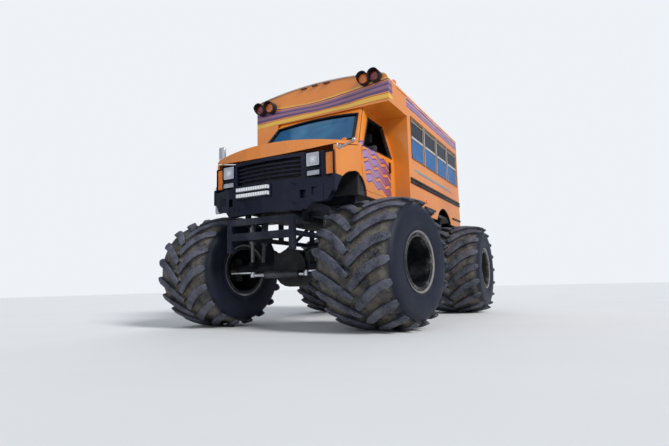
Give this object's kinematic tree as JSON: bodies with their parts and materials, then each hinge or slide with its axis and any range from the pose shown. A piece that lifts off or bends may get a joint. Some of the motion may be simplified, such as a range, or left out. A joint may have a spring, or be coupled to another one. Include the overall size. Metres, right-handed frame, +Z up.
{
  "type": "monster truck with a short school bus body",
  "caption": "Monster truck with a short school bus body on a van cab, four huge lugged tyres, steered front wheels and opening doors.",
  "frame": {"origin": "middle of the footprint at ground level, under the centre of the bounding box", "axes": "+X to the vehicle's left (the driver's side), +Y to its rear, +Z up; the front faces -Y"},
  "size_m": [4.039, 5.588, 3.83],
  "materials": {
    "frame_black": "satin black paint",
    "cast_metal": "dull cast metal",
    "axle_black": "satin black paint",
    "shock_steel": "bare steel",
    "chrome": "hard chrome",
    "link_steel": "plated steel",
    "rim_black": "black paint",
    "tyre": "dusty rubber",
    "floor_grey": "dark floor",
    "bus_orange": "gloss orange-yellow paint",
    "cab_orange": "gloss orange-yellow paint",
    "black_plastic": "dark blue-black",
    "glass": "tinted glass",
    "seat_dark": "dark cloth",
    "dash_dark": "dark plastic",
    "lamp_clear": "clear lens",
    "lamp_amber": "amber and red lens"
  },
  "bodies": {
    "chassis": {"frame_rails": "frame_black", "frame_beams": "frame_black", "frame_posts": "frame_black", "engine_block": "cast_metal", "radiator": "cast_metal", "driveline": "frame_black", "front_axle": "axle_black", "rear_axle": "axle_black", "suspension_links": "frame_black", "shock_absorbers": "shock_steel", "steering_ram": "axle_black", "bus_floor": "floor_grey", "bus_side_left": "bus_orange", "bus_side_right": "bus_orange", "bus_front_wall": "bus_orange", "bus_rear_wall": "bus_orange", "bus_roof": "bus_orange", "front_cap": "bus_orange", "cab_shell": "cab_orange", "fenders": "cab_orange", "grille": "black_plastic", "bumpers": "black_plastic", "windscreen": "glass", "bus_windows": "glass", "entry_door": "bus_orange", "driver_seat": "seat_dark", "passenger_seats": "seat_dark", "dashboard": "dash_dark", "clear_lamps": "lamp_clear", "amber_lamps": "lamp_amber", "mirrors": "black_plastic"},
    "knuckle_left": {"knuckle_left": "axle_black"},
    "knuckle_right": {"knuckle_right": "axle_black"},
    "ram_rod": {"ram_rod": "chrome"},
    "drag_link_left": {"drag_link_left": "link_steel"},
    "drag_link_right": {"drag_link_right": "link_steel"},
    "driver_door": {"driver_door": "cab_orange"},
    "rear_door": {"rear_door": "bus_orange", "rear_door_glass": "glass"},
    "hood": {"hood": "cab_orange"},
    "wheel_front_left": {"rim_front_left": "rim_black", "tyre_front_left": "tyre"},
    "wheel_front_right": {"rim_front_right": "rim_black", "tyre_front_right": "tyre"},
    "wheel_rear_left": {"rim_rear_left": "rim_black", "tyre_rear_left": "tyre"},
    "wheel_rear_right": {"rim_rear_right": "rim_black", "tyre_rear_right": "tyre"}
  },
  "joints": [
    {"name": "steer_left", "type": "hinge", "parent": "chassis", "child": "knuckle_left", "pos_m": [1.12, -1.90596, 0.823], "axis": [0, 0, 1], "range_deg": [-11.3, 28.7]},
    {"name": "steer_right", "type": "hinge", "parent": "chassis", "child": "knuckle_right", "pos_m": [-1.12, -1.90596, 0.823], "axis": [0, 0, 1], "range_deg": [-11.3, 28.7]},
    {"name": "ram_slide", "type": "slide", "parent": "chassis", "child": "ram_rod", "axis": [1, 0, 0], "range_m": [-0.06, 0.149]},
    {"name": "drag_left_turn", "type": "hinge", "parent": "knuckle_left", "child": "drag_link_left", "pos_m": [0.71876, -2.14805, 0.728], "axis": [0, 0, 1], "range_deg": [-68, 28]},
    {"name": "drag_right_turn", "type": "hinge", "parent": "knuckle_right", "child": "drag_link_right", "pos_m": [-0.80952, -2.25696, 0.728], "axis": [0, 0, 1], "range_deg": [-68, 28]},
    {"name": "spin_front_left", "type": "hinge", "parent": "knuckle_left", "child": "wheel_front_left", "pos_m": [1.12, -1.90596, 0.823], "axis": [0.9885, -0.1513, 0], "continuous": true},
    {"name": "spin_front_right", "type": "hinge", "parent": "knuckle_right", "child": "wheel_front_right", "pos_m": [-1.12, -1.90596, 0.823], "axis": [0.9885, -0.1513, 0], "continuous": true},
    {"name": "spin_rear_left", "type": "hinge", "parent": "chassis", "child": "wheel_rear_left", "pos_m": [1.36, 1.73754, 0.823], "axis": [1, 0, 0], "continuous": true},
    {"name": "spin_rear_right", "type": "hinge", "parent": "chassis", "child": "wheel_rear_right", "pos_m": [-1.36, 1.73754, 0.823], "axis": [1, 0, 0], "continuous": true},
    {"name": "driver_door_open", "type": "hinge", "parent": "chassis", "child": "driver_door", "pos_m": [0.98, -1.64396, 2.2], "axis": [0, 0, -1], "range_deg": [0, 65]},
    {"name": "rear_door_open", "type": "hinge", "parent": "chassis", "child": "rear_door", "pos_m": [-0.427, 2.71904, 2.6], "axis": [0, 0, 1], "range_deg": [0, 110]},
    {"name": "hood_open", "type": "hinge", "parent": "chassis", "child": "hood", "pos_m": [0, -1.71996, 2.614], "axis": [-1, 0, 0], "range_deg": [0, 45]}
  ],
  "couplings": [
    {"joint": "steer_right", "follows": "steer_left", "ratio": 1},
    {"joint": "ram_slide", "follows": "steer_left", "m_per_rad": 0.2945},
    {"joint": "drag_left_turn", "follows": "steer_left", "ratio": -2.28},
    {"joint": "drag_right_turn", "follows": "steer_left", "ratio": -2.28}
  ]
}
